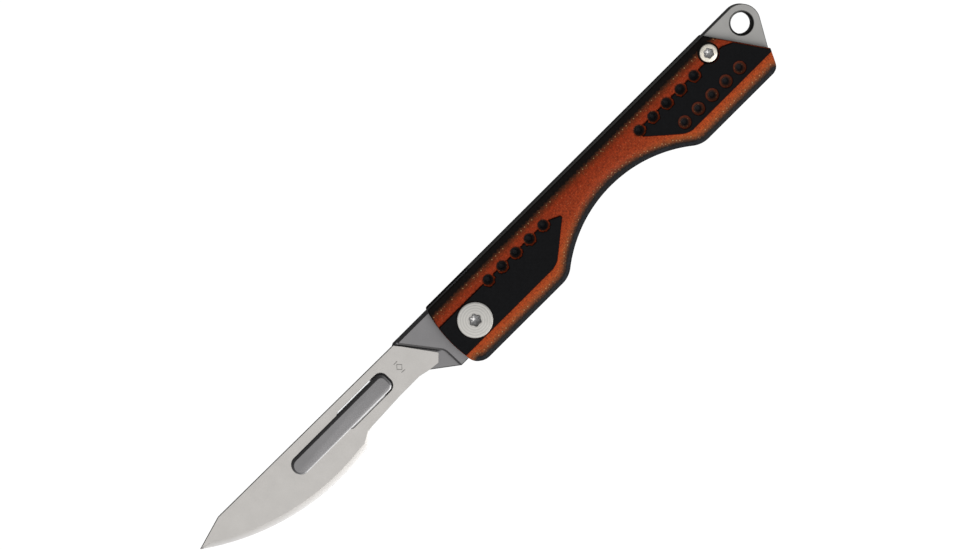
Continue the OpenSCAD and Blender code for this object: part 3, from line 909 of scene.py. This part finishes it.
def blade_holder(material):
    """Tongue under the blade, relief channel with painted shade at the shoulder's foot, shoulder and round tang,
    with the lug standing on the tongue.
    """
    seat, top, low, spine = BLADE_LOW.z, HOLDER_HIGH.z, HOLDER_LOW.z, HOLDER_HIGH.y
    heel_y, tang_r, wall, slope, spine_w, edge_w = -4.7, 5.9, 0.03, 0.36, 0.45, 0.2
    groove_w, groove_side, groove_depth, stop_pin_r = 0.3, 0.04, 0.12, 0.76
    # The tongue shows a smoother finish with painted highlight along bright_x, and painted shade from dark_x to
    # dark_end, behind the lug
    bright_x, dark_x, dark_end, blend = (-31.0, -22.0), -21.4, -17, 0.1

    # The shoulder's edge runs from the spine down to the heel
    step = rounded([(-13.9, spine, 0), (-8.1, -0.45, 2.0), (-7.95, heel_y, 0), (0, heel_y, 0), (0, spine, 0)])
    step = step[:-2]
    heel = math.degrees(math.asin(-heel_y / tang_r)) + 180
    corners = [(-14.0, spine, 0), (-15.6, 6.2, 1.0), (-43.2, 5.9, 0.8), (-44.9, 4.6, 0.8), (-44.9, 2.2, 0.8),
               (-43.2, 0.9, 0.8), (-16, 0.1, 1.0), (-12.9, -0.95, 0.8), (*step[-1], 0)]
    corners += [(*p, 0) for p in arc((0, 0), tang_r, heel, 360 + 85, 90)] + [(0, spine, 0), (*step[0], 0)]
    outline = resample(rounded(corners), 0.15)
    step = resample(step, 0.3, False)
    beyond = step + [(step[-1][0], -20), (20, -20), (20, 20), (step[0][0], 20)]

    # Mesh lines follow each crease of the face and each border of its finish
    lines = [clip_line(resample([(-13.0, spine - spine_w), (0, spine - spine_w)], 0.3, False), outline)]
    step_points = np.array(step)
    ahead = np.gradient(step_points, axis=0)
    ahead /= np.linalg.norm(ahead, axis=1)[:, None]
    towards_tang = np.stack([-ahead[:, 1], ahead[:, 0]], 1)
    for shift in (0.0, wall, wall + slope, -groove_w, -groove_w - groove_side):
        lines.append(clip_line([tuple(p) for p in step_points + towards_tang * shift], outline))
    lines.append(clip_line([tuple(p) for p in offset_loop(outline, [edge_w] * len(outline))][::2], outline))
    for x in (bright_x[0] - blend, bright_x[0], bright_x[1], bright_x[1] + blend, dark_x, dark_x + blend):
        lines.append(resample([(x, 0.8), (x, 5.6)], 0.5, False))

    def height(points):
        """Height of the holder's face over each plan point, and how much painted shade it gets: in the relief
        channel, on the shoulder's slope and behind the lug.
        """
        from_step = distance_to(points, step)
        raised = inside(points, beyond) & (from_step > wall / 2)
        from_edge = distance_to(points, outline, True)
        from_spine = spine - points[:, 1]
        z = np.where(raised, top - np.clip(wall + slope - from_step, 0, slope), seat)
        beside_blade = np.clip((points[:, 1] + 0.1) / 0.5, 0, 1)
        painted_shade = np.clip((groove_w + groove_side - from_step) / groove_side, 0, 1)
        painted_shade = np.where(raised, 0, painted_shade) * beside_blade
        z -= groove_depth * painted_shade
        on_slope = raised & (from_step < wall + slope - 0.01)
        # Painted shade on the shoulder's slope below the blade, and full painted shade on the stretch behind the
        # lug
        painted_shade = np.where(on_slope, 0.25 * (1 - beside_blade), painted_shade)
        painted_shade = np.where((points[:, 0] > dark_x) & (points[:, 0] < dark_end), 1.0, painted_shade)
        z -= np.where(from_spine > spine_w, np.clip(edge_w - from_edge, 0, edge_w), 0)
        return np.minimum(z, top - spine_w + from_spine), painted_shade

    def polish_and_highlight(x, y, z):
        """Smoother finish with painted highlight on the stretch of the tongue that shows bright beside the lug."""
        if abs(z - seat) > 0.01 or not bright_x[0] - 0.01 < x < bright_x[1] + 0.01:
            return 0.0
        return 1.0 if y > LUG_Y else 0.5

    bores = [circle((0, 0), PIVOT_BORE_R, 64), circle((0, -4.8), stop_pin_r, 32)]
    vertices, faces, painted_shade = carved([outline] + bores, lines, [], height, lambda ring: [(ring, low)])
    tongue_polish_and_highlight = [polish_and_highlight(*p) for p in vertices]
    first = len(vertices)
    lug_vertices, lug_faces, lug_shine, lug_shade = lug()
    vertices += lug_vertices
    faces += [tuple(first + i for i in f) for f in lug_faces]
    piece = make_object("holder_milled", vertices, faces, material, "blade", 25,
                        {"painted_shade": padded(painted_shade, first) + lug_shade, "polish_and_highlight": tongue_polish_and_highlight + lug_shine})
    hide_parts("blade_holder")


def cutting_edge():
    """The curved edge from the heel to the point."""
    radius, centre_x, bottom = 48.1, -38.15, -3.8
    heel_x, tip_x = -30.6, BLADE_LOW.x + 0.02
    xs = np.linspace(tip_x, heel_x, 60)
    return [(float(x), bottom + radius - math.sqrt(radius ** 2 - (x - centre_x) ** 2)) for x in xs]


def key_slot(narrow, wide, wide_x):
    """Slot round the lug: narrow in front, and wide with a squarer end behind wide_x."""
    lead, end_r = 0.7, wide - SQUARE
    end_x = LUG_REAR + LONGER + SQUARE
    slot = arc((end_x, SLOT_Y - SQUARE), end_r, -90, 0, 10) + arc((end_x, SLOT_Y + SQUARE), end_r, 0, 90, 10)
    slot += [(wide_x, SLOT_Y + wide), (wide_x - lead, SLOT_Y + narrow)]
    slot += arc((LUG_FRONT, SLOT_Y), narrow, 90, 270, 20)
    return resample(slot + [(wide_x - lead, SLOT_Y - narrow), (wide_x, SLOT_Y - wide)], 1.0)


def scalpel_blade(material):
    """Flat blade with a ground edge and its two-width key slot."""
    spine, clip = HOLDER_HIGH.y - 0.06, (-59.8, BLADE_HIGH.y - 0.05)
    grind, fine, back, edge_drop, point_drop = 1.05, 0.03, 0.135, 0.215, 0.21
    heel_w, heel_drop = 0.2, 0.08
    edge = cutting_edge()
    rear = [(-28.7, -1.25), (-27.5, -1.0), (-20, -0.65), (-14.8, -0.62), (-12.4, -1.15), (-10.5, -1.35),
            (-9.1, 0.0), (-14.15, spine), clip]
    loop = edge + resample(rear, 2.0, False)
    heel = len(edge)
    widths, drops = [], []
    for i in range(heel):
        blend = min(1.0, (i + 0.3) / 3, (heel - i) * 0.45 + 0.4)
        widths.append(fine + (grind - fine) * blend)
        drops.append(edge_drop if i > 0 else point_drop)
    widths.append(heel_w)
    drops.append(heel_drop)
    for x, y in loop[heel + 1:]:
        widths.append(back if y > spine - 0.1 else fine)
        drops.append(widths[-1])

    # The slot's wide part has the widest broken edges, steeper on its belly side
    narrow, wide, wide_x, broken = 1.7, 2.1, -30.3, 0.05
    slot = key_slot(narrow, wide, wide_x)
    slot_w = [broken + (0.06 * abs(y - SLOT_Y) / wide if x > wide_x - 0.1 else 0) for x, y in slot]
    slot_drop = [w if y < SLOT_Y else broken + 0.25 * (w - broken) for w, (x, y) in zip(slot_w, slot)]
    vertices, faces = plate([loop, slot], BLADE_LOW.z, BLADE_HIGH.z,
                            [(widths, drops, drops), (slot_w, slot_drop, [0.03] * len(slot))])
    count = len(loop)
    on_edge = [1.0] * (heel + 1) + [0.0] * (count - heel - 1)
    ground = [0.0] * count + on_edge * 2
    piece = make_object("blade_ground", vertices, faces, material, "blade", 8, {"ground": ground})
    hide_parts("scalpel_blade")


def carried_nodes(plain_steel, liner_steel, bronze):
    """CAD nodes whose shape is right and which only need their material."""
    finishes = {"front_liner": liner_steel, "back_liner": liner_steel, "front_washer": bronze,
                "back_washer": bronze, "stop_pin": plain_steel, "backspacer_pin": plain_steel,
                "detent_ball": plain_steel}
    for node, material in finishes.items():
        piece = frame["nodes"][node]
        piece.data.materials.clear()
        piece.data.materials.append(material)


# ---------------- stage

VIEW_TILT = math.radians(7.5)
VIEW_DISTANCE = 0.7
VIEW_ROLL = math.radians(44.89)
VIEW_AIM = (0.00773, 0.00408)


def camera():
    """Camera over the knife, leaning a little towards its spine and aimed from the pivot."""
    across = Vector((0, math.cos(VIEW_TILT), -math.sin(VIEW_TILT)))
    along = Vector((1, 0, 0))
    back = Vector((0, math.sin(VIEW_TILT), math.cos(VIEW_TILT)))
    right = math.cos(VIEW_ROLL) * along - math.sin(VIEW_ROLL) * across
    up = math.sin(VIEW_ROLL) * along + math.cos(VIEW_ROLL) * across
    pivot_top = PIVOT + Vector((0, 0, PAD_Z * MM))
    target = pivot_top + VIEW_AIM[0] * along + VIEW_AIM[1] * across
    data = bpy.data.cameras.new("camera")
    data.lens = 138.9
    data.sensor_width = 36
    data.clip_start = 0.05
    eye = bpy.data.objects.new("camera", data)
    bpy.context.scene.collection.objects.link(eye)
    place = Matrix((right, up, back)).transposed().to_4x4()
    place.translation = target + back * VIEW_DISTANCE
    eye.matrix_world = place
    bpy.context.scene.camera = eye


def softbox(name, place, size, power):
    """White area light that faces the knife."""
    data = bpy.data.lights.new(name, "AREA")
    data.shape = "RECTANGLE"
    data.size, data.size_y = size
    data.energy = power
    light = bpy.data.objects.new(name, data)
    light.location = place
    light.rotation_euler = (-Vector(place)).to_track_quat("-Z", "Y").to_euler()
    bpy.context.scene.collection.objects.link(light)


def stage():
    """White floor, even sky and soft lights, mostly from the belly side."""
    mesh = bpy.data.meshes.new("floor")
    half = 1.5
    corners = [(-half, -half, 0), (half, -half, 0), (half, half, 0), (-half, half, 0)]
    mesh.from_pydata(corners, [], [(0, 1, 2, 3)])
    floor = bpy.data.objects.new("floor", mesh)
    mesh.materials.append(floor_material())
    bpy.context.scene.collection.objects.link(floor)
    world = bpy.data.worlds.new("studio")
    world.use_nodes = True
    tree = world.node_tree
    tree.nodes["Background"].inputs[0].default_value = (0.95, 0.97, 1.0, 1)
    direction = tree.nodes.new("ShaderNodeTexCoord")
    lean = tree.nodes.new("ShaderNodeVectorMath")
    lean.operation = "DOT_PRODUCT"
    lean.inputs[1].default_value = (0, -0.6, 0.8)
    fade = tree.nodes.new("ShaderNodeMapRange")
    for socket, value in zip(list(fade.inputs)[1:5], (-0.35, 0.75, 0.05, 0.54)):
        socket.default_value = value
    tree.links.new(direction.outputs["Generated"], lean.inputs[0])
    tree.links.new(lean.outputs["Value"], fade.inputs[0])
    tree.links.new(fade.outputs[0], tree.nodes["Background"].inputs[1])
    bpy.context.scene.world = world
    softbox("key", (0.15, -0.6, 0.6), (0.7, 0.5), 2.5)
    softbox("top", (-0.2, -0.15, 0.9), (0.6, 0.6), 0.8)
    bpy.context.scene.view_settings.view_transform = "Standard"


camera()
stage()
laminate = laminate_material()
for scale_name, scale_side in (("front_scale", 1), ("back_scale", -1)):
    scale_piece = handle_scale(scale_name + "_laminate", scale_side, laminate)
    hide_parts(scale_name)
pivot_steel = turned_material("pivot_steel", srgb(192, 189, 183), 0.34, (0, 0), 0.48, 0.14)
bright_steel = turned_material("bright_steel", srgb(240, 232, 216), 0.2, BODY, 0.1, 0.03)
hardware(pivot_steel, bright_steel)
backspacer(metal_material("blasted_steel", srgb(176, 174, 170), 0.48, grain_scale=9.0, contrast=0.10,
                          polish_and_painted_light=True))
blade_holder(metal_material("holder_steel", srgb(138, 136, 136), 0.42, grain=(0.6, 1.4, 1), polish_and_painted_light=True))
scalpel_blade(blade_material())
carried_nodes(metal_material("plain_steel", srgb(190, 188, 185), 0.3),
              metal_material("liner_steel", srgb(140, 140, 142), 0.45),
              metal_material("washer_bronze", srgb(190, 150, 90), 0.35))
